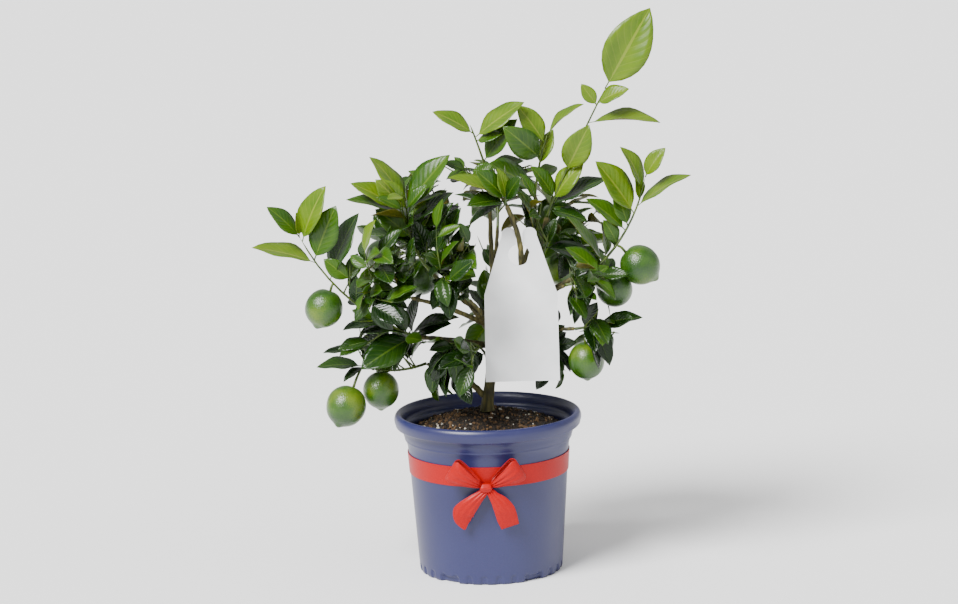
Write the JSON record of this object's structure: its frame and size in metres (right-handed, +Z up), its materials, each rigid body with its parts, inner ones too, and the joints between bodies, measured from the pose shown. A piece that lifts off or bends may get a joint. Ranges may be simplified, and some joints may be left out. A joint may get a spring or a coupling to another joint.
{
  "type": "potted key lime tree",
  "caption": "Young citrus tree in a plastic pot, with limes on its boughs, a bare card tag and a red ribbon tied round the pot.",
  "frame": {"origin": "middle of the flat underside of the pot", "axes": "+Z up along the pot's axis, -Y towards the front where the bow is tied, +X to the right seen from the front"},
  "size_m": [0.3808, 0.2237, 0.4949],
  "materials": {
    "pot_plastic": "satin blue-violet plastic",
    "soil": "damp potting soil with pale grains",
    "bark": "olive bark",
    "foliage": "glossy leaves",
    "card": "smooth white card",
    "satin": "red satin ribbon"
  },
  "bodies": {
    "root": {"pot": "pot_plastic", "soil": "soil", "trunk": "bark", "bough_low_left": "bark", "bough_left_long": "bark", "bough_left_middle": "bark", "bough_left_upper": "bark", "bough_left_inner": "bark", "bough_centre": "bark", "bough_left_top": "bark", "bough_top_left": "bark", "bough_right_main": "bark", "bough_right_inner": "bark", "bough_top_middle": "bark", "bough_right_reach": "bark", "bough_right_middle": "bark", "bough_right_low": "bark", "bough_back_left": "bark", "bough_back_right": "bark", "bough_back_top": "bark", "bough_back_low": "bark", "leaves_left_reach": "foliage", "leaves_left_low": "foliage", "leaves_left_middle": "foliage", "leaves_left_upper": "foliage", "leaves_left_inner": "foliage", "leaves_front_low": "foliage", "leaves_centre": "foliage", "leaves_left_top": "foliage", "leaves_top_left": "foliage", "leaves_top_middle": "foliage", "leaves_top_right": "foliage", "leaves_right_reach": "foliage", "leaves_right_middle": "foliage", "leaves_right_inner": "foliage", "leaves_right_low": "foliage", "leaves_right_under": "foliage", "leaves_back_left": "foliage", "leaves_back_right": "foliage", "leaves_back_top": "foliage", "leaves_back_low": "foliage", "tag": "card", "ribbon_band": "satin", "bow_knot": "satin", "bow_left_loop": "satin", "bow_right_loop": "satin", "bow_left_tail": "satin", "bow_right_tail": "satin"}
  },
  "joints": []
}
